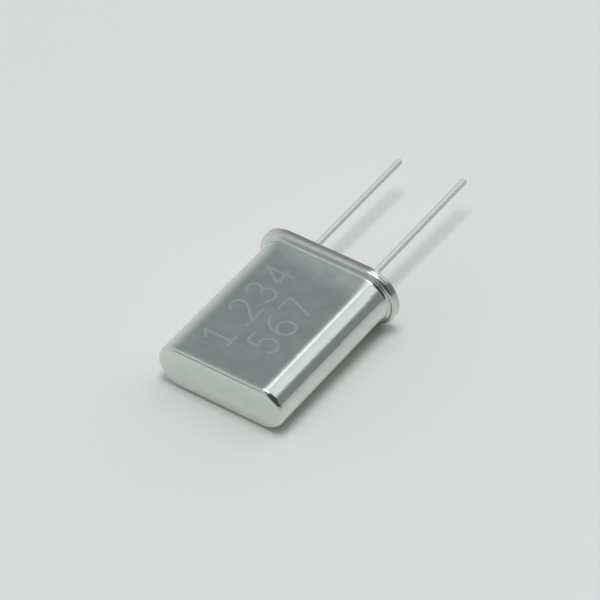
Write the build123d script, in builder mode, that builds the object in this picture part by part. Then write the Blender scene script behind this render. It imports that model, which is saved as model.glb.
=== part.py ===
from build123d import *
from math import sqrt
import os

# Quartz crystal in a tall welded metal can with two wire leads.
# The origin is on the seating face of the base, halfway between the leads. The leads run
# along +Y, the can reaches towards -Y, and its broad face looks up along +Z.
# Heights are counted from the seating face towards the closed end of the can, which is the
# way that Plane.XZ.offset moves, so a height of 2 lies at Y = -2.

# Can, deep drawn from one sheet
body_width = 10.05
body_depth = 3.52
overall_height = 12.9
can_sheet = 0.3
punch_radius = 0.06
die_radius = 0.27
rim_at_ends = 0.5
rim_at_sides = 0.555
can_rim_radius = 0.16

# Base, stamped with a raised plug, a recess below it and two collars
base_flange_thickness = 0.42
base_rim_radius = 0.08
plug_clearance = 0.08
plug_rise = 0.5
plug_edge_chamfer = 0.15
recess_wall = 0.4
recess_lip_chamfer = 0.1
seating_edge_chamfer = 0.1
web_thickness = 0.45
collar_wall = 0.2
collar_setback = 0.1

# Glass seals
seal_diameter = 1.25
seal_sink = 0.06
seal_climb = 0.07

# Leads, headed like nails inside the can and tinned outside it
lead_pitch = 4.88
wire_diameter = 0.43
tin_thickness = 0.015
tin_taper_length = 0.56
left_lead_length = 11.75
right_lead_length = 12.4
lead_tip_chamfer = 0.12
lead_stand = 0.45
head_diameter = 0.85
head_thickness = 0.14
head_cone = 0.12

# Springs, slotted ribbons welded to the lead heads
ribbon_thickness = 0.1
ribbon_width = 0.9
ribbon_bend_radius = 0.3
ribbon_end_margin = 0.5
ribbon_corner_radius = 0.25
slot_clearance = 0.03

# Quartz blank with a keyhole film on each face
blank_thickness = 0.21
blank_overhang = 0.08
electrode_diameter = 4.6
electrode_tab_width = 0.9
electrode_film = 0.02

# Dabs of conductive adhesive where the springs hold the blank
dab_wrap = 0.15
dab_reach = 0.4
dab_edge_chamfer = 0.2
dab_wall_gap = 0.455

# Sizes that follow from the ones above
flange_width = body_width + 2 * rim_at_ends
flange_depth = body_depth + 2 * rim_at_sides
rim_top_height = base_flange_thickness + can_sheet
cavity_width = body_width - 2 * can_sheet
cavity_depth = body_depth - 2 * can_sheet
cavity_end_height = overall_height - can_sheet
plug_width = cavity_width - 2 * plug_clearance
plug_depth = cavity_depth - 2 * plug_clearance
plug_top_height = base_flange_thickness + plug_rise
recess_width = plug_width - 2 * recess_wall
recess_depth = plug_depth - 2 * recess_wall
recess_top_height = plug_top_height - web_thickness
seal_radius = seal_diameter / 2
wire_radius = wire_diameter / 2
lead_radius = wire_radius + tin_thickness
tin_start_height = collar_setback + seal_sink
lead_x = lead_pitch / 2
head_radius = head_diameter / 2
head_bottom_height = plug_top_height + lead_stand
head_top_height = head_bottom_height + head_thickness
dab_radius = ribbon_width / 2 + dab_wrap
ribbon_x = cavity_width / 2 - dab_wall_gap - dab_reach
ribbon_inner_x = ribbon_x - ribbon_thickness / 2
blank_radius = ribbon_x + ribbon_thickness / 2 + blank_overhang
foot_height = head_top_height + ribbon_thickness / 2
blank_height = (head_top_height + ribbon_thickness + cavity_end_height) / 2
slot_length = 2 * sqrt(blank_radius**2 - ribbon_inner_x**2) + 2 * slot_clearance
slot_width = blank_thickness + 2 * slot_clearance
ribbon_top_height = blank_height + slot_length / 2 + ribbon_end_margin


def face_at(builder, height):
    """Return the flat face across the can that lies at a height above the seating face."""
    flat_faces = builder.faces().filter_by(Axis.Y)
    return min(flat_faces, key=lambda face: abs(face.center().Y + height))


# The can: body and flange as one, rounded outside as the die leaves it, then hollowed and
# rounded at the mouth so that the sheet keeps its thickness round the bend. The nose of the
# punch leaves a corner inside the closed end too small to need more than a chamfer.
with BuildPart() as can:
    with BuildSketch(Plane.XZ.offset(base_flange_thickness)):
        SlotOverall(flange_width, flange_depth)
    extrude(amount=can_sheet)
    with BuildSketch(Plane.XZ.offset(base_flange_thickness)):
        SlotOverall(body_width, body_depth)
    extrude(amount=overall_height - base_flange_thickness)
    fillet(face_at(can, overall_height).edges(), radius=punch_radius + can_sheet)
    fillet(face_at(can, rim_top_height).inner_wires()[0].edges(), radius=die_radius)
    fillet(face_at(can, rim_top_height).outer_wire().edges(), radius=can_rim_radius)
    with BuildSketch(Plane.XZ.offset(base_flange_thickness)):
        SlotOverall(cavity_width, cavity_depth)
    extrude(amount=cavity_end_height - base_flange_thickness, mode=Mode.SUBTRACT)
    chamfer(face_at(can, cavity_end_height).edges(), length=punch_radius)
    mouth = face_at(can, base_flange_thickness).inner_wires()[0]
    fillet(mouth.edges(), radius=die_radius + can_sheet)

# The base: a flange that the can is welded to, a plug that centres the can, and a recess on
# the seating side with a collar round each glass seal.
with BuildPart() as base:
    with BuildSketch(Plane.XZ):
        SlotOverall(flange_width, flange_depth)
    extrude(amount=base_flange_thickness)
    fillet(face_at(base, base_flange_thickness).edges(), radius=base_rim_radius)
    chamfer(face_at(base, 0).edges(), length=seating_edge_chamfer)
    with BuildSketch(Plane.XZ.offset(base_flange_thickness)):
        SlotOverall(plug_width, plug_depth)
    extrude(amount=plug_rise)
    chamfer(face_at(base, plug_top_height).edges(), length=plug_edge_chamfer)
    with BuildSketch(Plane.XZ):
        SlotOverall(recess_width, recess_depth)
    extrude(amount=recess_top_height, mode=Mode.SUBTRACT)
    chamfer(face_at(base, 0).inner_wires()[0].edges(), length=recess_lip_chamfer)
    with BuildSketch(Plane.XZ.offset(collar_setback)):
        with GridLocations(lead_pitch, 0, 2, 1):
            Circle(seal_radius + collar_wall)
    extrude(amount=recess_top_height - collar_setback)
    with BuildSketch(Plane.XZ.offset(collar_setback)):
        with GridLocations(lead_pitch, 0, 2, 1):
            Circle(seal_radius)
    extrude(amount=plug_top_height - collar_setback, mode=Mode.SUBTRACT)

# The blank: a thin round plate of quartz in the plane of the broad face.
with BuildPart() as quartz_blank:
    with BuildSketch(Plane.XY.offset(-blank_thickness / 2)):
        with Locations((0, -blank_height)):
            Circle(blank_radius)
    extrude(amount=blank_thickness)


def electrode(face_side, tab_side):
    """Return a keyhole film on the face at face_side, with its tab towards tab_side."""
    film_bottom = blank_thickness / 2 if face_side > 0 else -blank_thickness / 2 - electrode_film
    tab_end = ribbon_inner_x - slot_clearance
    with BuildPart() as film:
        with BuildSketch(Plane.XY.offset(film_bottom)):
            with Locations((0, -blank_height)):
                Circle(electrode_diameter / 2)
            with Locations((tab_side * tab_end / 2, -blank_height)):
                Rectangle(tab_end, electrode_tab_width)
        extrude(amount=electrode_film)
    return film.part


def lead(side, lead_length):
    """Return the wire at one side, turned about its own axis, with its nail head and tin."""
    with BuildPart() as wire:
        with BuildSketch(Plane.XY):
            with BuildLine():
                Polyline(
                    (side * lead_x, lead_length),
                    (side * (lead_x + lead_radius), lead_length),
                    (side * (lead_x + lead_radius), tin_taper_length - tin_start_height),
                    (side * (lead_x + wire_radius), -tin_start_height),
                    (side * (lead_x + wire_radius), head_cone - head_bottom_height),
                    (side * (lead_x + head_radius), -head_bottom_height),
                    (side * (lead_x + head_radius), -head_top_height),
                    (side * lead_x, -head_top_height),
                    close=True,
                )
            make_face()
        revolve(axis=Axis((side * lead_x, 0, 0), (0, 1, 0)))
        tip = wire.faces().filter_by(Axis.Y).sort_by(Axis.Y)[-1]
        chamfer(tip.edges(), length=lead_tip_chamfer)
    return wire.part


def glass_seal(side):
    """Return the bead between one collar and its bare wire, climbing the wire inside the can."""
    wire_side = side * (lead_x + wire_radius)
    climb_edge = side * (lead_x + wire_radius + seal_climb)
    collar_side = side * (lead_x + seal_radius)
    high = seal_sink - plug_top_height
    with BuildPart() as bead:
        with BuildSketch(Plane.XY):
            with BuildLine():
                Polyline(
                    (wire_side, -tin_start_height),
                    (collar_side, -tin_start_height),
                    (collar_side, high),
                    (climb_edge, high),
                    (wire_side, high - seal_climb),
                    close=True,
                )
            make_face()
        revolve(axis=Axis((side * lead_x, 0, 0), (0, 1, 0)))
    return bead.part


def spring(side):
    """Return a ribbon from one lead head out to the rim of the blank and up beside it."""
    with BuildPart() as ribbon:
        with BuildSketch(Plane.XY.offset(-ribbon_width / 2)):
            with BuildLine():
                FilletPolyline(
                    (side * (lead_x - head_radius), -foot_height),
                    (side * ribbon_x, -foot_height),
                    (side * ribbon_x, -ribbon_top_height),
                    radius=ribbon_bend_radius,
                )
            trace(line_width=ribbon_thickness)
        extrude(amount=ribbon_width)
        foot_corners = ribbon.edges().filter_by(Axis.Y).sort_by(Axis.X)
        fillet(foot_corners[0:2] if side > 0 else foot_corners[-2:], radius=ribbon_corner_radius)
        top_corners = ribbon.edges().filter_by(Axis.X).sort_by(Axis.Y)[0:2]
        fillet(top_corners, radius=ribbon_corner_radius)
        with BuildSketch(Plane.YZ.offset(side * ribbon_x)):
            with Locations((-blank_height, 0)):
                Rectangle(slot_length, slot_width)
        extrude(amount=ribbon_thickness, both=True, mode=Mode.SUBTRACT)
    return ribbon.part


def adhesive(side, ribbon, film):
    """Return the dab that wraps one ribbon and the edge of the blank in its slot."""
    with BuildPart() as dab:
        with BuildSketch(Plane.YZ.offset(side * ribbon_x)):
            with Locations((-blank_height, 0)):
                Circle(dab_radius)
        extrude(amount=dab_reach, both=True)
        chamfer(dab.faces().filter_by(Axis.X).edges(), length=dab_edge_chamfer)
        add(ribbon, mode=Mode.SUBTRACT)
        add(quartz_blank.part, mode=Mode.SUBTRACT)
        add(film, mode=Mode.SUBTRACT)
    return dab.part


pieces = {"can": can.part, "base": base.part, "quartz_blank": quartz_blank.part}
pieces["lead_left"] = lead(-1, left_lead_length)
pieces["lead_right"] = lead(1, right_lead_length)
pieces["electrode_front"] = electrode(1, -1)
pieces["electrode_rear"] = electrode(-1, 1)
for side, name, film in ((-1, "left", "electrode_front"), (1, "right", "electrode_rear")):
    pieces["glass_seal_" + name] = glass_seal(side)
    pieces["spring_" + name] = spring(side)
    pieces["adhesive_" + name] = adhesive(side, pieces["spring_" + name], pieces[film])

os.makedirs("parts", exist_ok=True)
for name, piece in pieces.items():
    piece.label = name
    export_step(piece, f"parts/{name}.step")
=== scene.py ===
"""Looks of a quartz crystal in a flat welded metal can with two wire leads.

The can, the base, the leads and the glass are remade here as fine smooth surfaces on the same
sizes as their solids, because a polished curve shows every facet in its reflections. The inner
pieces keep their solids and get a finish. Lengths are metres in the part's own frame: the leads
run along +Y, the can reaches towards -Y and its broad face looks up along +Z. A height is
counted from the seating face towards the closed end, so a height h lies at Y = -h.
"""

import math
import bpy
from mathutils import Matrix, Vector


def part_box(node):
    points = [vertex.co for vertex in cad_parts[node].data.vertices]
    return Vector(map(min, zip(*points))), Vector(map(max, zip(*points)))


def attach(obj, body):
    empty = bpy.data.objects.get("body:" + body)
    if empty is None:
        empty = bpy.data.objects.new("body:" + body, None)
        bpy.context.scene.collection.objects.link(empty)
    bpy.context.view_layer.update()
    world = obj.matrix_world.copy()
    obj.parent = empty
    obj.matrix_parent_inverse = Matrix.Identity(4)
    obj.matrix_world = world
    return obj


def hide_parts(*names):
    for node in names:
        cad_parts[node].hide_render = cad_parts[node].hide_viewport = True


bl_info = {
    "name": "Welded Quartz Crystal",
    "version": (1, 0, 0),
    "blender": (4, 5, 0),
    "location": "3D View > Sidebar > Crystal",
    "description": "Builds the fine surfaces, finishes and studio of a crystal in a welded can",
    "category": "Add Mesh",
}

import bpy
import numpy as np
from bpy.props import FloatProperty, FloatVectorProperty, PointerProperty, StringProperty
from mathutils import Matrix, Vector

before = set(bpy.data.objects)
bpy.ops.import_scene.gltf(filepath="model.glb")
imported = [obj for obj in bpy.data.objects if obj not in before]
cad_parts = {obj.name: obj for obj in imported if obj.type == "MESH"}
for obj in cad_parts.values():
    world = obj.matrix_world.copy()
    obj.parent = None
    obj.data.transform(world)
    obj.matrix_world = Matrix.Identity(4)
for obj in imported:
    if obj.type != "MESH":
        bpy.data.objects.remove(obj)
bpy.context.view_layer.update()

MM = 0.001
CAN_LOW, CAN_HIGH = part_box("can")
BASE_LOW, BASE_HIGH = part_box("base")
SEAL_LOW, SEAL_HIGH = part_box("glass_seal_right")

# How finely the surfaces are divided
TURN_STEPS = 48
STRAIGHT_STEPS = 24
MIDDLE_STEPS = 12
EDGE_STEPS = 12
WIRE_STEPS = 40
SUPPORT = 0.012 * MM
WELD = 1e-9
CREASE_ANGLE = math.radians(28)


def linear(hex_colour):
    """Turn an sRGB hex colour into linear red, green, blue and alpha."""
    coded = np.array([int(hex_colour[i : i + 2], 16) for i in (1, 3, 5)]) / 255
    plain = np.where(coded <= 0.04045, coded / 12.92, ((coded + 0.055) / 1.055) ** 2.4)
    return (*plain.tolist(), 1.0)


def length(name, description, default):
    """Return a length property whose default is in metres."""
    return FloatProperty(name=name, description=description, default=default, min=0, unit="LENGTH", precision=5)


def finish_colour(name, description, hex_colour):
    """Return a colour property whose default comes from an sRGB hex value."""
    return FloatVectorProperty(
        name=name, description=description, default=linear(hex_colour)[:3], min=0, max=1, size=3, subtype="COLOR"
    )


class CanSizes(bpy.types.PropertyGroup):
    """Sizes of the drawn can and of its welded rim."""

    rim_width: length("Rim width", "Width of the rim across both round sides", CAN_HIGH.x - CAN_LOW.x)
    rim_depth: length("Rim depth", "Depth of the rim from front to back", CAN_HIGH.z - CAN_LOW.z)
    body_width: length("Body width", "Width of the can across both round sides", 10.05 * MM)
    body_depth: length("Body depth", "Depth of the can between its broad faces", 3.52 * MM)
    closed_height: length("Closed end", "Height of the closed end over the seating face", -CAN_LOW.y)
    weld_height: length("Weld", "Height of the face welded to the base", -CAN_HIGH.y)
    sheet: length("Sheet", "Thickness of the drawn sheet", 0.3 * MM)
    end_radius: length("End radius", "Outer rounding of the closed end", 0.36 * MM)
    foot_radius: length("Foot radius", "Outer rounding between the body and the rim", 0.24 * MM)
    flare: length("Flare", "How far the wall leans out where it meets the foot", 0.06 * MM)
    flare_length: length("Flare length", "Length of wall over which the flare dies out", 1.2 * MM)
    edge_radius: length("Edge radius", "Rounding of the rim's outer edge", 0.25 * MM)
    corner_cut: length("Corner cut", "Cut corner inside the closed end", 0.06 * MM)


class BaseSizes(bpy.types.PropertyGroup):
    """Sizes of the stamped base."""

    flange: length("Flange", "Thickness of the flange", -CAN_HIGH.y)
    edge_radius: length("Edge radius", "Rounding of the flange on the side of the can", 0.08 * MM)
    seat_chamfer: length("Seat chamfer", "Chamfer round the seating face", 0.1 * MM)
    plug_width: length("Plug width", "Width of the plug inside the can", 9.29 * MM)
    plug_depth: length("Plug depth", "Depth of the plug inside the can", 2.76 * MM)
    plug_chamfer: length("Plug chamfer", "Chamfer round the top of the plug", 0.15 * MM)
    recess_width: length("Recess width", "Width of the recess on the seating side", 8.49 * MM)
    recess_depth: length("Recess depth", "Depth of the recess from front to back", 1.96 * MM)
    recess_chamfer: length("Recess chamfer", "Chamfer round the mouth of the recess", 0.1 * MM)
    web: length("Web", "Metal left between the recess and the top of the plug", 0.45 * MM)
    collar_radius: length("Collar radius", "Outer radius of the collar round each seal", 0.825 * MM)
    collar_setback: length("Collar setback", "How far the collars stay behind the seating face", 0.1 * MM)
    seal_radius: length("Seal radius", "Radius of the bore that the glass fills", 0.625 * MM)


class LeadSizes(bpy.types.PropertyGroup):
    """Sizes of the wires and of the glass round them."""

    pitch: length("Pitch", "Distance between the axes of the leads", 4.88 * MM)
    radius: length("Radius", "Radius of the tinned wire", 0.23 * MM)
    bare_radius: length("Bare radius", "Radius of the wire before tinning", 0.215 * MM)
    tip_radius: length("Tip radius", "Rounding of the cut end", 0.12 * MM)
    taper: length("Taper", "Length over which the tin thins out towards the glass", 0.56 * MM)
    head_radius: length("Head radius", "Radius of the nail head inside the can", 0.425 * MM)
    head_thickness: length("Head thickness", "Thickness of the nail head's rim", 0.14 * MM)
    head_cone: length("Head cone", "Length of the cone behind the nail head", 0.12 * MM)
    glass_dip: length("Glass dip", "How far the glass sinks between wire and collar", 0.05 * MM)
    glass_climb: length("Glass climb", "How far the glass climbs the wire inside the can", 0.07 * MM)


class MarkingSizes(bpy.types.PropertyGroup):
    """Text and sizes of the plain digits on the broad face."""

    first_line: StringProperty(name="First line", description="Digits and points of the first line", default="1.234")
    second_line: StringProperty(name="Second line", description="Digits and points of the second line", default="567")
    digit_height: length("Digit height", "Height of a digit", 2.15 * MM)
    digit_pitch: length("Digit pitch", "Distance from one digit to the next", 1.9 * MM)
    point_pitch: length("Point pitch", "Room that a decimal point takes", 1.1 * MM)
    stroke: length("Stroke", "Width of a stroke", 0.2 * MM)
    first_start: length("First start", "Height of the first line's start over the seating face", 11.0 * MM)
    second_start: length("Second start", "Height of the second line's start over the seating face", 9.9 * MM)


class StudioSettings(bpy.types.PropertyGroup):
    """Camera and lights."""

    azimuth: FloatProperty(
        name="Azimuth", description="Camera angle round the part", default=math.radians(37.822), subtype="ANGLE"
    )
    elevation: FloatProperty(
        name="Elevation", description="Camera angle over the floor", default=math.radians(44.08), subtype="ANGLE"
    )
    roll: FloatProperty(
        name="Roll", description="Turn of the camera about its axis", default=math.radians(-3.745), subtype="ANGLE"
    )
    distance: length("Distance", "From the camera to the point it aims at", 248.37 * MM)
    lens: FloatProperty(name="Lens", description="Focal length on a 36 mm sensor", default=224.1, unit="CAMERA")
    aim_x: FloatProperty(name="Aim X", description="Aim across the can", default=-0.323 * MM, unit="LENGTH")
    aim_y: FloatProperty(name="Aim Y", description="Aim along the leads", default=-3.269 * MM, unit="LENGTH")
    soft_box: FloatProperty(name="Soft box", description="Brightness of the large soft box", default=0.3, min=0)
    edge_strip: FloatProperty(name="Edge strip", description="Brightness of the soft box's bright edge", default=0.6, min=0)
    top_panel: FloatProperty(name="Top panel", description="Brightness of the panel overhead", default=7.5, min=0)


class Finishes(bpy.types.PropertyGroup):
    """Colours of the finishes."""

    nickel: finish_colour("Nickel", "Nickel plate on the can", "#D8DFD9")
    base_nickel: finish_colour("Base nickel", "Nickel plate on the base", "#C8CBC6")
    tin: finish_colour("Tin", "Tin on the leads", "#E6E9E7")
    glass: finish_colour("Glass", "Sealing glass", "#2B3330")
    spring: finish_colour("Spring", "Nickel alloy strip of the springs", "#C2BFB6")
    quartz: finish_colour("Quartz", "Lapped quartz", "#EEF3F1")
    silver: finish_colour("Silver", "Evaporated silver film", "#E6E5E0")
    adhesive: finish_colour("Adhesive", "Cured silver epoxy", "#B9B8B3")
    floor: finish_colour("Floor", "Satin studio floor", "#F6F6F3")


# Mesh tools


def ring_pattern():
    """Return where the columns of an obround ring lie.

    A column is a share of the half straight, from -1 to 1, with the cosine and the sine of the
    way it faces. The ring starts in the middle of the lower straight and goes round by the right
    arc, the upper straight and the left arc.
    """
    out = np.linspace(0, 1, STRAIGHT_STEPS, endpoint=False)
    turn = np.linspace(-np.pi / 2, np.pi / 2, TURN_STEPS, endpoint=False)
    level = np.full(STRAIGHT_STEPS, np.pi / 2)
    share = np.r_[out, np.ones(TURN_STEPS), 1 - out]
    angle = np.r_[-level, turn, level]
    return np.r_[share, -share], np.r_[np.cos(angle), -np.cos(angle)], np.r_[np.sin(angle), -np.sin(angle)]


def obround_rings(profile):
    """Carry a profile round an obround.

    Each row of the profile is a half straight a, a radius r and a height h. Its ring holds the
    points (a t + r cos p, -h, r sin p), where t is a column's share of the straight and p the
    way it faces.
    """
    share, across, up = ring_pattern()
    half, radius, height = profile.T[:, :, None]
    x = half * share + radius * across
    return np.stack([x, np.broadcast_to(-height, x.shape), radius * up], axis=-1)


def turned_rings(profile, centre_x, steps=WIRE_STEPS):
    """Turn a profile about a line along Y: radius r and place y give (x0 + r cos p, y, r sin p)."""
    angle = np.linspace(0, 2 * np.pi, steps, endpoint=False)
    radius, y = profile.T[:, :, None]
    x = centre_x + radius * np.cos(angle)
    return np.stack([x, np.broadcast_to(y, x.shape), radius * np.sin(angle)], axis=-1)


def arc(centre, radius, start, end, steps=EDGE_STEPS):
    """Return points on an arc: the centre plus the radius times (cos, sin) of an even run of degrees."""
    angle = np.radians(np.linspace(start, end, steps + 1))
    return np.c_[centre[0] + radius * np.cos(angle), centre[1] + radius * np.sin(angle)]


def grid_quads(rows, columns, closed=True):
    """Return the four corners of each cell of a grid, whose last column joins the first if it is closed."""
    number = np.arange(rows * columns).reshape(rows, columns)
    across = np.roll(number, -1, axis=1) if closed else number[:, 1:]
    number = number if closed else number[:, :-1]
    corners = [number[:-1], number[1:], across[1:], across[:-1]]
    return np.stack(corners, axis=-1).reshape(-1, 4)


def surface(*grids):
    """Join closed grids of points into one list of points and one of quads."""
    points, quads, count = [], [], 0
    for grid in grids:
        rows, columns = grid.shape[:2]
        points.append(grid.reshape(-1, 3))
        quads.append(grid_quads(rows, columns) + count)
        count += rows * columns
    return np.concatenate(points), np.concatenate(quads)


def welded(points, quads):
    """Merge the points that share a place, and drop each cell's sides that closed up."""
    places = np.round(points / WELD).astype(np.int64)
    _, first, number = np.unique(places, axis=0, return_index=True, return_inverse=True)
    quads = number.reshape(-1)[quads]
    shut = quads == np.roll(quads, -1, axis=1)
    whole = quads[~shut.any(axis=1)]
    pinched = shut.sum(axis=1) == 1
    triangles = quads[pinched][~shut[pinched]].reshape(-1, 3)
    return points[first], whole, triangles


def volume(points, triangles):
    """Return the signed volume inside a closed surface: a sixth of the triple products, summed."""
    a, b, c = (points[triangles[:, i]] for i in range(3))
    return np.einsum("ij,ij->", a, np.cross(b, c)) / 6


def add_piece(name, points, quads, slot, replaces=()):
    """Write a closed surface to a mesh that faces outwards and ride it on the part."""
    points, quads, triangles = welded(points, quads)
    split = np.concatenate([quads[:, [0, 1, 2]], quads[:, [0, 2, 3]], triangles])
    if volume(points, split) < 0:
        quads, triangles = quads[:, ::-1], triangles[:, ::-1]
    mesh = bpy.data.meshes.new(name)
    mesh.from_pydata(points.tolist(), [], quads.tolist() + triangles.tolist())
    mesh.shade_smooth()
    mesh.set_sharp_from_angle(angle=CREASE_ANGLE)
    if mesh.validate():
        raise RuntimeError(f"the surface of {name} had faults")
    piece = bpy.data.objects.new(name, mesh)
    bpy.context.scene.collection.objects.link(piece)
    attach(piece, "root")
    if replaces:
        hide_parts(*replaces)
    return piece


def dress(thing, material):
    """Give a piece one material."""
    thing.data.materials.clear()
    thing.data.materials.append(material)


# Surfaces


def can_surface(sizes):
    """Carry the can's wall round its obround, out along the outside and back along the inside.

    The profile goes from the middle of the closed end over its rounded edge, down the side,
    through the foot to the rim, round the rim's edge, along the weld face and through the
    rounded mouth up the inner wall to the middle of the closed end again. Near the foot the
    wall leans out by the flare times the square of 1 - u, where u is the share of the flare's
    length passed, and the foot's arc takes over at the slope that it ends with.
    """
    half = (sizes.body_width - sizes.body_depth) / 2
    rim_half = (sizes.rim_width - sizes.rim_depth) / 2
    side, rim = sizes.body_depth / 2, sizes.rim_depth / 2
    inner = side - sizes.sheet
    rim_top = sizes.weld_height + sizes.sheet
    mouth = sizes.foot_radius + sizes.sheet
    end, end_radius = sizes.closed_height, sizes.end_radius
    inner_end = end - sizes.sheet
    foot, lean = sizes.foot_radius, math.atan2(2 * sizes.flare, sizes.flare_length)
    foot_start = rim_top + foot + foot * math.sin(lean)
    passed = np.linspace(1, 0, EDGE_STEPS + 1)
    flare = np.c_[side + sizes.flare * (1 - passed) ** 2, foot_start + sizes.flare_length * passed]
    foot_centre = (side + sizes.flare + foot * math.cos(lean), rim_top + foot)
    body = np.concatenate([
        [(0, end), (side - end_radius - SUPPORT, end)],
        arc((side - end_radius, end - end_radius), end_radius, 90, 0),
        [(side, end - end_radius - SUPPORT)],
        flare,
        arc(foot_centre, foot, 180 - math.degrees(lean), 270)[1:],
    ])
    edge = np.concatenate([
        [(rim - sizes.edge_radius - SUPPORT, rim_top)],
        arc((rim - sizes.edge_radius, rim_top - sizes.edge_radius), sizes.edge_radius, 90, 0, EDGE_STEPS // 2),
        [(rim, sizes.weld_height)],
    ])
    inside = np.concatenate([
        arc((inner + mouth, sizes.weld_height + mouth), mouth, 270, 180, EDGE_STEPS // 2),
        [(inner, inner_end - sizes.corner_cut), (inner - sizes.corner_cut, inner_end), (0, inner_end)],
    ])
    halves = np.r_[np.full(len(body), half), np.full(len(edge), rim_half), np.full(len(inside), half)]
    return surface(obround_rings(np.c_[halves, np.concatenate([body, edge, inside])]))


def seal_side(sizes, lead_x, recess_top, plug_top):
    """Fill one half of the base between the recess and the plug's top, round the bore of its seal.

    The outer row follows the half obround and the middle line. Each point of it sends a ray to
    the axis of the lead, and the collar's and the bore's circles lie on those rays.
    """
    share, across, up = ring_pattern()
    count = TURN_STEPS + 2 * STRAIGHT_STEPS
    middle = np.linspace(1, -1, 2 * MIDDLE_STEPS, endpoint=False)
    share = np.r_[share[:count], np.zeros(2 * MIDDLE_STEPS)]
    across = np.r_[across[:count], np.zeros(2 * MIDDLE_STEPS)]
    up = np.r_[up[:count], middle]
    half = (sizes.recess_width - sizes.recess_depth) / 2
    recess = np.c_[half * share + sizes.recess_depth / 2 * across, sizes.recess_depth / 2 * up]
    top_radius = sizes.plug_depth / 2 - sizes.plug_chamfer
    plug_half = (sizes.plug_width - sizes.plug_depth) / 2
    plug = np.c_[plug_half * share + top_radius * across, top_radius * up]
    ray = recess - (lead_x, 0)
    ray /= np.linalg.norm(ray, axis=1)[:, None]
    collar = (lead_x, 0) + sizes.collar_radius * ray
    bore = (lead_x, 0) + sizes.seal_radius * ray
    rows = [
        (recess, recess_top),
        (collar, recess_top),
        (collar, sizes.collar_setback),
        (bore, sizes.collar_setback),
        (bore, plug_top),
        (plug, plug_top),
    ]
    return np.stack([np.c_[flat[:, 0], np.full(len(flat), -height), flat[:, 1]] for flat, height in rows])


def base_surface(sizes, can, lead_x):
    """Carry the base's outside round its obround, then close it with one grid round each seal."""
    plug_half = (sizes.plug_width - sizes.plug_depth) / 2
    rim_half = (can.rim_width - can.rim_depth) / 2
    recess_half = (sizes.recess_width - sizes.recess_depth) / 2
    plug, rim, recess = sizes.plug_depth / 2, can.rim_depth / 2, sizes.recess_depth / 2
    plug_top = -BASE_LOW.y
    recess_top = plug_top - sizes.web
    edge, seat, lip = sizes.edge_radius, sizes.seat_chamfer, sizes.recess_chamfer
    inside = [(plug - sizes.plug_chamfer, plug_top), (plug, plug_top - sizes.plug_chamfer), (plug, sizes.flange)]
    outside = np.concatenate([
        [(rim - edge - SUPPORT, sizes.flange)],
        arc((rim - edge, sizes.flange - edge), edge, 90, 0, EDGE_STEPS // 2),
        [(rim, sizes.flange - edge - SUPPORT), (rim, seat), (rim - seat, 0)],
    ])
    below = [(recess + lip, 0), (recess, lip), (recess, recess_top)]
    halves = np.r_[np.full(3, plug_half), np.full(len(outside), rim_half), np.full(3, recess_half)]
    shell = obround_rings(np.c_[halves, np.concatenate([inside, outside, below])])
    right = seal_side(sizes, lead_x, recess_top, plug_top)
    left = (right * (-1, 1, 1))[:, ::-1]
    return surface(shell, right, left)


def lead_surface(sizes, centre_x, head, tip):
    """Turn the wire's profile about its own axis, from the rounded tip to the nail head."""
    radius, bare, glass = sizes.radius, sizes.bare_radius, SEAL_HIGH.y
    profile = np.concatenate([
        [(0, tip)],
        arc((radius - sizes.tip_radius, tip - sizes.tip_radius), sizes.tip_radius, 90, 0, EDGE_STEPS // 2),
        [
            (radius, tip - sizes.tip_radius - SUPPORT),
            (radius, glass + sizes.taper),
            (bare, glass),
            (bare, head + sizes.head_thickness + sizes.head_cone),
            (sizes.head_radius, head + sizes.head_thickness),
            (sizes.head_radius, head),
            (0, head),
        ],
    ])
    return surface(turned_rings(profile, centre_x))


def glass_surface(sizes, base, centre_x):
    """Turn the glass about the wire. Its outer face sinks by a parabola between wire and collar."""
    bare, bore = sizes.bare_radius, base.seal_radius
    share = np.linspace(0, 1, EDGE_STEPS + 1)
    outer_face = SEAL_HIGH.y - sizes.glass_dip * (1 - (2 * share - 1) ** 2)
    climb = SEAL_LOW.y
    profile = np.concatenate([
        np.c_[bare + share * (bore - bare), outer_face],
        [(bore, climb + sizes.glass_climb), (bare + sizes.glass_climb, climb + sizes.glass_climb), (bare, climb)],
    ])
    profile = np.concatenate([profile, profile[:1]])
    return surface(turned_rings(profile, centre_x))


# Digits, drawn as the path of a pen in a box 0.6 wide and 1 high

def pen(*points):
    """Return a path through a few points as an array."""
    return np.array(points, float)


def bow(centre, across, up, start, end):
    """Return an oval arc: the centre plus (across cos, up sin) of an even run of degrees."""
    angle = np.radians(np.linspace(start, end, 33))
    return np.c_[centre[0] + across * np.cos(angle), centre[1] + up * np.sin(angle)]


DIGITS = {
    ".": [pen((0.27, 0.02), (0.33, 0.02))],
    "1": [pen((0.34, 1), (0.34, 0)), pen((0.1, 0.78), (0.34, 1)), pen((0.12, 0), (0.56, 0))],
    "2": [np.concatenate([bow((0.3, 0.7), 0.27, 0.3, 165, -35), pen((0, 0))]), pen((0, 0), (0.6, 0))],
    "3": [bow((0.28, 0.745), 0.25, 0.255, 155, -90), bow((0.28, 0.255), 0.3, 0.255, 90, -155)],
    "4": [pen((0.44, 1), (0, 0.3), (0.6, 0.3)), pen((0.44, 1), (0.44, 0))],
    "5": [pen((0.54, 1), (0.12, 1), (0.08, 0.56)), bow((0.28, 0.32), 0.3, 0.32, 130, -150)],
    "6": [bow((0.3, 0.3), 0.3, 0.3, 190, 530), bow((0.5, 0.4), 0.5, 0.6, 92, 196)],
    "7": [pen((0, 1), (0.6, 1), (0.22, 0))],
}


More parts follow.
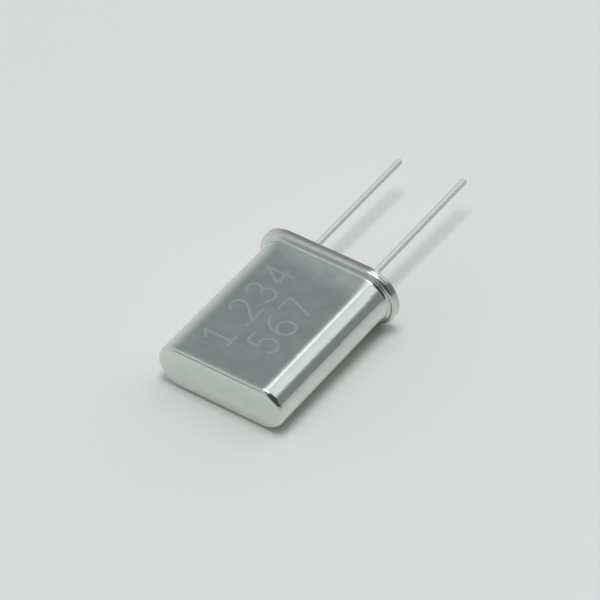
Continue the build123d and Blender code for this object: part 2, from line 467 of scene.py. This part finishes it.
def even_path(path, count=96, ease=7):
    """Space a path evenly by its length, then average each inner point with its neighbours.

    The averaging rounds the corners by about the pen's own radius.
    """
    run = np.r_[0, np.cumsum(np.linalg.norm(np.diff(path, axis=0), axis=1))]
    at = np.linspace(0, run[-1], count)
    even = np.c_[np.interp(at, run, path[:, 0]), np.interp(at, run, path[:, 1])]
    padded = np.concatenate([np.repeat(even[:1], ease, axis=0), even, np.repeat(even[-1:], ease, axis=0)])
    window = np.ones(2 * ease + 1) / (2 * ease + 1)
    return np.c_[np.convolve(padded[:, 0], window, "valid"), np.convolve(padded[:, 1], window, "valid")]


def stroke_grid(path, width, low, high):
    """Carry a flat bar along a path in the plane of the broad face, with round ends.

    Across each point of the path the bar reaches half its width to both sides. At an end the
    reach shrinks as the root of 1 - s squared, where s is the share of the cap passed.
    """
    along = np.gradient(path, axis=0)
    along /= np.linalg.norm(along, axis=1)[:, None]
    cap = np.sin(np.radians(np.linspace(0, 90, 9)))[1:]
    start = path[0] - cap[::-1, None] * width / 2 * along[0]
    end = path[-1] + cap[:, None] * width / 2 * along[-1]
    line = np.concatenate([start, path, end])
    tangent = np.concatenate([np.repeat(along[:1], len(cap), 0), along, np.repeat(along[-1:], len(cap), 0)])
    reach = np.sqrt(np.clip(1 - cap**2, 0, 1))
    reach = width / 2 * np.r_[reach[::-1], np.ones(len(path)), reach]
    side = np.c_[-tangent[:, 1], tangent[:, 0]] * reach[:, None]
    corners = [(line + side, high), (line - side, high), (line - side, low), (line + side, low)]
    return np.stack([np.c_[flat, np.full(len(flat), z)] for flat, z in corners], axis=1)


# Materials


def add_node(tree, kind, inputs=None, **settings):
    """Add a node, set its own settings, and set or link each named input."""
    node = tree.nodes.new(kind)
    for name, value in settings.items():
        setattr(node, name, value)
    for name, value in (inputs or {}).items():
        if isinstance(value, bpy.types.NodeSocket):
            tree.links.new(value, node.inputs[name])
        else:
            node.inputs[name].default_value = value
    return node


def new_material(name):
    """Return a new material, its node tree and its surface shader."""
    material = bpy.data.materials.new(name)
    material.use_nodes = True
    return material, material.node_tree, material.node_tree.nodes["Principled BSDF"]


def satin_nickel_plate(name, colour, roughness, draw_lines, frost):
    """Nickel plate over drawn steel: bright, slightly soft, with faint lines along the draw.

    The plate mirrors the studio in soft bands. Its fine grain of about 0.3 mm breaks their
    edges, and the lines along Y show as streaks where the can turns away from the light. The
    heat of the weld ripples the plate towards the rim and frosts the broad faces beside it.
    """
    material, tree, shader = new_material(name)
    place = add_node(tree, "ShaderNodeTexCoord").outputs["Object"]
    grain = add_node(
        tree, "ShaderNodeTexNoise", {"Vector": place, "Scale": 1 / (0.3 * MM), "Detail": 3.0, "Roughness": 0.6}
    )
    stretched = add_node(
        tree, "ShaderNodeMapping", {"Vector": place, "Scale": (1 / (0.11 * MM), 1 / (2.6 * MM), 1 / (0.11 * MM))}
    )
    lines = add_node(
        tree, "ShaderNodeTexNoise", {"Vector": stretched.outputs["Vector"], "Scale": 1.0, "Detail": 2.0}
    )
    waves = add_node(
        tree, "ShaderNodeTexNoise", {"Vector": place, "Scale": 1 / (1.8 * MM), "Detail": 1.0}
    )
    blotch = add_node(tree, "ShaderNodeTexNoise", {"Vector": place, "Scale": 1 / (1.1 * MM), "Detail": 4.0})
    tone = add_node(
        tree,
        "ShaderNodeMix",
        {"Factor": blotch.outputs["Fac"], "A": (*(0.9 * c for c in colour), 1), "B": (*(1.08 * c for c in colour), 1)},
        data_type="RGBA",
    )
    polish = add_node(
        tree,
        "ShaderNodeMapRange",
        {"Value": blotch.outputs["Fac"], "From Min": 0.3, "From Max": 0.7,
         "To Min": roughness - 0.03, "To Max": roughness + 0.03},
    )
    uneven = add_node(tree, "ShaderNodeVectorMath", {0: place, 1: (0.15, 1.0, 0.0)}, operation="DOT_PRODUCT")
    heat = add_node(
        tree,
        "ShaderNodeMapRange",
        {"Value": uneven.outputs["Value"], "From Min": -3.3 * MM, "From Max": -1.1 * MM, "To Min": 0.0, "To Max": 1.0},
        interpolation_type="SMOOTHSTEP",
    ).outputs["Result"]
    across = add_node(tree, "ShaderNodeSeparateXYZ", {"Vector": place}).outputs["Z"]
    level = add_node(tree, "ShaderNodeMath", {0: across}, operation="ABSOLUTE")
    broad = add_node(
        tree,
        "ShaderNodeMapRange",
        {"Value": level.outputs["Value"], "From Min": 1.68 * MM, "From Max": 1.75 * MM, "To Min": 0.0, "To Max": frost},
    )
    dull = add_node(
        tree,
        "ShaderNodeMath",
        {0: heat, 1: broad.outputs["Result"], 2: polish.outputs["Result"]},
        operation="MULTIPLY_ADD",
    )
    ripple = add_node(tree, "ShaderNodeTexNoise", {"Vector": place, "Scale": 1 / (0.6 * MM), "Detail": 1.0})
    swell = add_node(tree, "ShaderNodeMath", {0: heat, 1: ripple.outputs["Fac"]}, operation="MULTIPLY")
    weld = add_node(
        tree, "ShaderNodeBump", {"Height": swell.outputs["Value"], "Strength": 1.0, "Distance": 4 * draw_lines}
    )
    slow = add_node(
        tree,
        "ShaderNodeBump",
        {"Height": waves.outputs["Fac"], "Strength": 1.0, "Distance": 0.0015 * MM, "Normal": weld.outputs["Normal"]},
    )
    streaks = add_node(
        tree,
        "ShaderNodeBump",
        {"Height": lines.outputs["Fac"], "Strength": 1.0, "Distance": draw_lines, "Normal": slow.outputs["Normal"]},
    )
    relief = add_node(
        tree,
        "ShaderNodeBump",
        {"Height": grain.outputs["Fac"], "Strength": 1.0, "Distance": 0.005 * MM, "Normal": streaks.outputs["Normal"]},
    )
    tree.links.new(tone.outputs["Result"], shader.inputs["Base Color"])
    tree.links.new(dull.outputs["Value"], shader.inputs["Roughness"])
    tree.links.new(relief.outputs["Normal"], shader.inputs["Normal"])
    shader.inputs["Metallic"].default_value = 1.0
    return material


def tinned_wire(colour):
    """Hot tinned wire: pale and satin, with a faint orange-peel from the cooled tin."""
    material, tree, shader = new_material("hot_tinned_wire")
    place = add_node(tree, "ShaderNodeTexCoord").outputs["Object"]
    peel = add_node(tree, "ShaderNodeTexNoise", {"Vector": place, "Scale": 1 / (0.25 * MM), "Detail": 3.0})
    relief = add_node(tree, "ShaderNodeBump", {"Height": peel.outputs["Fac"], "Strength": 1.0, "Distance": 0.006 * MM})
    dull = add_node(
        tree, "ShaderNodeMapRange", {"Value": peel.outputs["Fac"], "To Min": 0.6, "To Max": 0.75}
    )
    tree.links.new(dull.outputs["Result"], shader.inputs["Roughness"])
    tree.links.new(relief.outputs["Normal"], shader.inputs["Normal"])
    shader.inputs["Base Color"].default_value = (*colour, 1)
    shader.inputs["Metallic"].default_value = 1.0
    return material


def engraved_nickel(colour):
    """Nickel frosted by a laser: the same metal, rougher, so that it scatters more light."""
    material, tree, shader = new_material("laser_frosted_nickel")
    place = add_node(tree, "ShaderNodeTexCoord").outputs["Object"]
    pits = add_node(tree, "ShaderNodeTexNoise", {"Vector": place, "Scale": 1 / (0.05 * MM), "Detail": 2.0})
    relief = add_node(tree, "ShaderNodeBump", {"Height": pits.outputs["Fac"], "Strength": 1.0, "Distance": 0.004 * MM})
    tree.links.new(relief.outputs["Normal"], shader.inputs["Normal"])
    shader.inputs["Base Color"].default_value = (*colour, 1)
    shader.inputs["Metallic"].default_value = 1.0
    shader.inputs["Roughness"].default_value = 0.26
    return material


def sealing_glass(colour):
    """Dark compression glass: a deep gloss with a few fine bubbles under the surface."""
    material, tree, shader = new_material("dark_sealing_glass")
    place = add_node(tree, "ShaderNodeTexCoord").outputs["Object"]
    bubbles = add_node(tree, "ShaderNodeTexVoronoi", {"Vector": place, "Scale": 1 / (0.12 * MM)})
    relief = add_node(
        tree, "ShaderNodeBump", {"Height": bubbles.outputs["Distance"], "Strength": 0.4, "Distance": 0.004 * MM}
    )
    tree.links.new(relief.outputs["Normal"], shader.inputs["Normal"])
    shader.inputs["Base Color"].default_value = (*colour, 1)
    shader.inputs["Roughness"].default_value = 0.08
    shader.inputs["IOR"].default_value = 1.52
    return material


def rolled_strip(colour):
    """Rolled nickel alloy strip: satin, with rolling lines along its length."""
    material, tree, shader = new_material("rolled_spring_strip")
    place = add_node(tree, "ShaderNodeTexCoord").outputs["Object"]
    stretched = add_node(
        tree, "ShaderNodeMapping", {"Vector": place, "Scale": (1 / (0.8 * MM), 1 / (0.8 * MM), 1 / (0.03 * MM))}
    )
    lines = add_node(tree, "ShaderNodeTexNoise", {"Vector": stretched.outputs["Vector"], "Scale": 1.0})
    relief = add_node(tree, "ShaderNodeBump", {"Height": lines.outputs["Fac"], "Strength": 1.0, "Distance": 0.002 * MM})
    tree.links.new(relief.outputs["Normal"], shader.inputs["Normal"])
    shader.inputs["Base Color"].default_value = (*colour, 1)
    shader.inputs["Metallic"].default_value = 1.0
    shader.inputs["Roughness"].default_value = 0.28
    return material


def lapped_quartz(colour):
    """Lapped quartz: clear crystal whose fine matt faces blur what is behind them."""
    material, tree, shader = new_material("lapped_quartz")
    place = add_node(tree, "ShaderNodeTexCoord").outputs["Object"]
    lapping = add_node(tree, "ShaderNodeTexNoise", {"Vector": place, "Scale": 1 / (0.04 * MM), "Detail": 2.0})
    relief = add_node(tree, "ShaderNodeBump", {"Height": lapping.outputs["Fac"], "Strength": 0.6, "Distance": 0.002 * MM})
    tree.links.new(relief.outputs["Normal"], shader.inputs["Normal"])
    shader.inputs["Base Color"].default_value = (*colour, 1)
    shader.inputs["Transmission Weight"].default_value = 0.85
    shader.inputs["IOR"].default_value = 1.544
    shader.inputs["Roughness"].default_value = 0.3
    return material


def silver_film(colour):
    """Evaporated silver: a thin bright film that follows the lapped quartz below it."""
    material, tree, shader = new_material("evaporated_silver")
    place = add_node(tree, "ShaderNodeTexCoord").outputs["Object"]
    lapping = add_node(tree, "ShaderNodeTexNoise", {"Vector": place, "Scale": 1 / (0.04 * MM), "Detail": 2.0})
    relief = add_node(tree, "ShaderNodeBump", {"Height": lapping.outputs["Fac"], "Strength": 0.4, "Distance": 0.002 * MM})
    tree.links.new(relief.outputs["Normal"], shader.inputs["Normal"])
    shader.inputs["Base Color"].default_value = (*colour, 1)
    shader.inputs["Metallic"].default_value = 1.0
    shader.inputs["Roughness"].default_value = 0.18
    return material


def silver_epoxy(colour):
    """Cured silver epoxy: matt grey paste with fine flakes that catch the light."""
    material, tree, shader = new_material("silver_epoxy")
    place = add_node(tree, "ShaderNodeTexCoord").outputs["Object"]
    flakes = add_node(tree, "ShaderNodeTexVoronoi", {"Vector": place, "Scale": 1 / (0.05 * MM)})
    shine = add_node(
        tree, "ShaderNodeMapRange", {"Value": flakes.outputs["Distance"], "To Min": 0.35, "To Max": 0.75}
    )
    relief = add_node(
        tree, "ShaderNodeBump", {"Height": flakes.outputs["Distance"], "Strength": 0.7, "Distance": 0.01 * MM}
    )
    tree.links.new(shine.outputs["Result"], shader.inputs["Roughness"])
    tree.links.new(relief.outputs["Normal"], shader.inputs["Normal"])
    shader.inputs["Base Color"].default_value = (*colour, 1)
    shader.inputs["Metallic"].default_value = 0.6
    return material


def floor_acrylic(colour):
    """White satin acrylic: pale and even, and a soft mirror of the room where it is seen edge on."""
    material, tree, shader = new_material("white_satin_acrylic")
    place = add_node(tree, "ShaderNodeTexCoord").outputs["Object"]
    satin = add_node(tree, "ShaderNodeTexNoise", {"Vector": place, "Scale": 1 / (3 * MM), "Detail": 2.0})
    shine = add_node(tree, "ShaderNodeMapRange", {"Value": satin.outputs["Fac"], "To Min": 0.2, "To Max": 0.28})
    tree.links.new(shine.outputs["Result"], shader.inputs["Roughness"])
    shader.inputs["Base Color"].default_value = (*colour, 1)
    shader.inputs["IOR"].default_value = 1.49
    return material


# Stage


def heading(azimuth, elevation):
    """Return the direction of an azimuth round the part and an elevation, both in radians."""
    level = math.cos(elevation)
    return Vector((math.sin(azimuth) * level, -math.cos(azimuth) * level, math.sin(elevation)))


def add_camera(studio):
    """Aim the camera at a point of the part's middle plane, from its azimuth, elevation and roll."""
    data = bpy.data.cameras.new("camera")
    data.lens = studio.lens
    data.sensor_width = 36.0
    data.clip_start = studio.distance / 100
    data.clip_end = studio.distance * 100
    camera = bpy.data.objects.new("camera", data)
    back = heading(studio.azimuth, studio.elevation)
    right = Vector((math.cos(studio.azimuth), math.sin(studio.azimuth), 0))
    up = back.cross(right)
    level = Matrix((right, up, back)).transposed()
    aim = Vector((studio.aim_x, studio.aim_y, 0))
    turn = Matrix.Rotation(studio.roll, 3, "Z")
    camera.matrix_world = Matrix.Translation(aim + back * studio.distance) @ (level @ turn).to_4x4()
    bpy.context.scene.collection.objects.link(camera)
    bpy.context.scene.camera = camera


def add_panel(name, towards, width, height, distance, radiance, upright):
    """Add a soft rectangular light that shines on the part from a direction.

    Its power is the radiance times pi times its area, and its height runs along upright as far
    as that lies across the direction.
    """
    data = bpy.data.lights.new(name, "AREA")
    data.shape = "RECTANGLE"
    data.size, data.size_y = width, height
    data.energy = radiance * math.pi * width * height
    light = bpy.data.objects.new(name, data)
    back = towards.normalized()
    right = upright.cross(back).normalized()
    up = back.cross(right)
    turn = Matrix((right, up, back)).transposed().to_4x4()
    light.matrix_world = Matrix.Translation(back * distance) @ turn
    bpy.context.scene.collection.objects.link(light)
    return light


def add_floor(colour, body_depth):
    """Lay the floor under the can: it touches the base's rim and the closed end's lower edge."""
    rim_low, end_low = BASE_LOW.z, -body_depth / 2
    reach = 600 * MM
    slope = (rim_low - end_low) / (BASE_HIGH.y - CAN_LOW.y)
    near, far = rim_low - slope * reach, rim_low + slope * reach
    corners = [(-reach, -reach, near), (reach, -reach, near), (reach, reach, far), (-reach, reach, far)]
    mesh = bpy.data.meshes.new("floor")
    mesh.from_pydata(corners, [], [(0, 1, 2, 3)])
    floor = bpy.data.objects.new("floor", mesh)
    bpy.context.scene.collection.objects.link(floor)
    dress(floor, floor_acrylic(colour))


def sky_patch(tree, direction, towards, inner, outer, colour, below):
    """Blend a colour over the sky round one direction, whole inside inner and gone at outer degrees."""
    facing = add_node(tree, "ShaderNodeVectorMath", {0: direction, 1: towards}, operation="DOT_PRODUCT")
    away = add_node(tree, "ShaderNodeMath", {0: facing.outputs["Value"]}, operation="ARCCOSINE")
    share = add_node(
        tree,
        "ShaderNodeMapRange",
        {"Value": away.outputs["Value"], "From Min": math.radians(inner), "From Max": math.radians(outer),
         "To Min": 1.0, "To Max": 0.0},
    )
    blend = add_node(
        tree,
        "ShaderNodeMix",
        {"Factor": share.outputs["Result"], "A": below, "B": (*colour, 1)},
        data_type="RGBA",
    )
    return blend.outputs["Result"]


def add_sky():
    """Surround the part with a soft grey room: darker low in front and low behind to the right."""
    world = bpy.data.worlds.new("studio")
    world.use_nodes = True
    bpy.context.scene.world = world
    tree = world.node_tree
    direction = add_node(tree, "ShaderNodeTexCoord").outputs["Generated"]
    base = add_node(tree, "ShaderNodeRGB")
    base.outputs["Color"].default_value = (0.63, 0.655, 0.67, 1)
    colour = base.outputs["Color"]
    patches = [
        (-90, 62, 10, 40, (0.38, 0.4, 0.41)),
        (-27, 2, 9, 20, (0.2, 0.22, 0.22)),
        (-142, 45, 1, 45, (0.275, 0.305, 0.32)),
        (50, 58, 14, 32, (0.07, 0.08, 0.08)),
        (62, 17, 50, 65, (0.07, 0.08, 0.08)),
        (122, 6, 22, 29, (0.25, 0.27, 0.28)),
    ]
    for azimuth, elevation, inner, outer, tone in patches:
        towards = heading(math.radians(azimuth), math.radians(elevation))
        colour = sky_patch(tree, direction, tuple(towards), inner, outer, tone, colour)
    tree.links.new(colour, tree.nodes["Background"].inputs["Color"])


# Operators


class CRYSTAL_OT_build_can(bpy.types.Operator):
    """Build the drawn can and its rim as one closed surface"""

    bl_idname = "crystal.build_can"
    bl_label = "Build Can"

    def execute(self, context):
        scene = context.scene
        can = add_piece("can_surface", *can_surface(scene.crystal_can), "can_metal", ["can"])
        plate = satin_nickel_plate("satin_nickel_plate", scene.crystal_finishes.nickel, 0.12, 0.0015 * MM, 0.18)
        dress(can, plate)
        dress(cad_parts["can"], plate)
        return {"FINISHED"}


class CRYSTAL_OT_build_base(bpy.types.Operator):
    """Build the stamped base with its recess and collars"""

    bl_idname = "crystal.build_base"
    bl_label = "Build Base"

    def execute(self, context):
        scene = context.scene
        lead_x = scene.crystal_leads.pitch / 2
        shape = base_surface(scene.crystal_base, scene.crystal_can, lead_x)
        base = add_piece("base_surface", *shape, "base_metal", ["base"])
        plate = satin_nickel_plate("stamped_nickel_plate", scene.crystal_finishes.base_nickel, 0.14, 0.001 * MM, 0.06)
        dress(base, plate)
        dress(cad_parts["base"], plate)
        return {"FINISHED"}


class CRYSTAL_OT_build_leads(bpy.types.Operator):
    """Build both wires and the glass that seals them"""

    bl_idname = "crystal.build_leads"
    bl_label = "Build Leads and Glass"

    def execute(self, context):
        scene = context.scene
        tin = tinned_wire(scene.crystal_finishes.tin)
        glass = sealing_glass(scene.crystal_finishes.glass)
        for side, name in ((-1, "left"), (1, "right")):
            centre_x = side * scene.crystal_leads.pitch / 2
            low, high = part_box(f"lead_{name}")
            shape = lead_surface(scene.crystal_leads, centre_x, low.y, high.y)
            wire = add_piece(f"wire_{name}", *shape, "lead_metal", [f"lead_{name}"])
            bead = add_piece(
                f"glass_bead_{name}",
                *glass_surface(scene.crystal_leads, scene.crystal_base, centre_x),
                "seal_glass",
                [f"glass_seal_{name}"],
            )
            for thing, material in ((wire, tin), (bead, glass)):
                dress(thing, material)
            dress(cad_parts[f"lead_{name}"], tin)
            dress(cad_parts[f"glass_seal_{name}"], glass)
        return {"FINISHED"}


class CRYSTAL_OT_mark_can(bpy.types.Operator):
    """Engrave two lines of plain digits on the broad face"""

    bl_idname = "crystal.mark_can"
    bl_label = "Mark Can"

    def execute(self, context):
        scene = context.scene
        marking = scene.crystal_marking
        face = scene.crystal_can.body_depth / 2
        lines = (
            (marking.first_line, -0.75 * MM, marking.first_start),
            (marking.second_line, 2.2 * MM, marking.second_start),
        )
        grids = []
        for text, baseline, start in lines:
            pen_at = -start
            for character in text:
                for layer, path in enumerate(DIGITS[character]):
                    spot = even_path(path) * marking.digit_height
                    spot = np.c_[baseline - spot[:, 1], pen_at + spot[:, 0]]
                    top = face + (3 + layer) * 0.001 * MM
                    grids.append(stroke_grid(spot, marking.stroke, face - 0.004 * MM, top))
                pen_at += marking.point_pitch if character == "." else marking.digit_pitch
        digits = add_piece("marking_digits", *surface(*grids), "can_metal")
        dress(digits, engraved_nickel(scene.crystal_finishes.nickel))
        return {"FINISHED"}


class CRYSTAL_OT_finish_inside(bpy.types.Operator):
    """Give the springs, the blank, its films and the dabs their finishes"""

    bl_idname = "crystal.finish_inside"
    bl_label = "Finish Inside"

    def execute(self, context):
        colours = context.scene.crystal_finishes
        strip = rolled_strip(colours.spring)
        film = silver_film(colours.silver)
        epoxy = silver_epoxy(colours.adhesive)
        finishes = {
            "spring_left": strip,
            "spring_right": strip,
            "quartz_blank": lapped_quartz(colours.quartz),
            "electrode_front": film,
            "electrode_rear": film,
            "adhesive_left": epoxy,
            "adhesive_right": epoxy,
        }
        for name, material in finishes.items():
            dress(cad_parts[name], material)
        return {"FINISHED"}


class CRYSTAL_OT_set_stage(bpy.types.Operator):
    """Set the floor, the soft lights and the camera"""

    bl_idname = "crystal.set_stage"
    bl_label = "Set Stage"

    def execute(self, context):
        scene = context.scene
        studio = scene.crystal_studio
        add_floor(scene.crystal_finishes.floor, scene.crystal_can.body_depth)
        add_sky()
        key = Vector((0.2445, 0.566, 0.788))
        add_panel("soft_box", key, 368 * MM, 200 * MM, 400 * MM, studio.soft_box, Vector((0, -1, 0)))
        edge = Vector((-0.0144, 0.566, 0.8244))
        add_panel("edge_strip", edge, 50 * MM, 200 * MM, 400 * MM, studio.edge_strip, Vector((0, -1, 0)))
        top = Vector((0.05, 0, 1))
        add_panel("top_panel", top, 200 * MM, 200 * MM, 500 * MM, studio.top_panel, Vector((0, -1, 0)))
        add_camera(studio)
        scene.view_settings.view_transform = "Standard"
        return {"FINISHED"}


OPERATORS = (
    CRYSTAL_OT_build_can,
    CRYSTAL_OT_build_base,
    CRYSTAL_OT_build_leads,
    CRYSTAL_OT_mark_can,
    CRYSTAL_OT_finish_inside,
    CRYSTAL_OT_set_stage,
)
SETTINGS = {
    "crystal_can": CanSizes,
    "crystal_base": BaseSizes,
    "crystal_leads": LeadSizes,
    "crystal_marking": MarkingSizes,
    "crystal_studio": StudioSettings,
    "crystal_finishes": Finishes,
}


class CRYSTAL_PT_sidebar(bpy.types.Panel):
    """The crystal's pieces and settings"""

    bl_idname = "CRYSTAL_PT_sidebar"
    bl_label = "Welded Quartz Crystal"
    bl_space_type = "VIEW_3D"
    bl_region_type = "UI"
    bl_category = "Crystal"

    def draw(self, context):
        for operator in OPERATORS:
            self.layout.operator(operator.bl_idname)
        for name, group in SETTINGS.items():
            box = self.layout.box()
            box.label(text=group.__doc__)
            settings = getattr(context.scene, name)
            for key in group.__annotations__:
                box.prop(settings, key)


CLASSES = (*SETTINGS.values(), *OPERATORS, CRYSTAL_PT_sidebar)


def register():
    for cls in CLASSES:
        bpy.utils.register_class(cls)
    for name, group in SETTINGS.items():
        setattr(bpy.types.Scene, name, PointerProperty(type=group))


def unregister():
    for name in SETTINGS:
        delattr(bpy.types.Scene, name)
    for cls in reversed(CLASSES):
        bpy.utils.unregister_class(cls)


def main():
    """Build every piece and the stage."""
    register()
    bpy.ops.crystal.build_can()
    bpy.ops.crystal.build_base()
    bpy.ops.crystal.build_leads()
    bpy.ops.crystal.mark_can()
    bpy.ops.crystal.finish_inside()
    bpy.ops.crystal.set_stage()


if __name__ == "__main__":
    main()
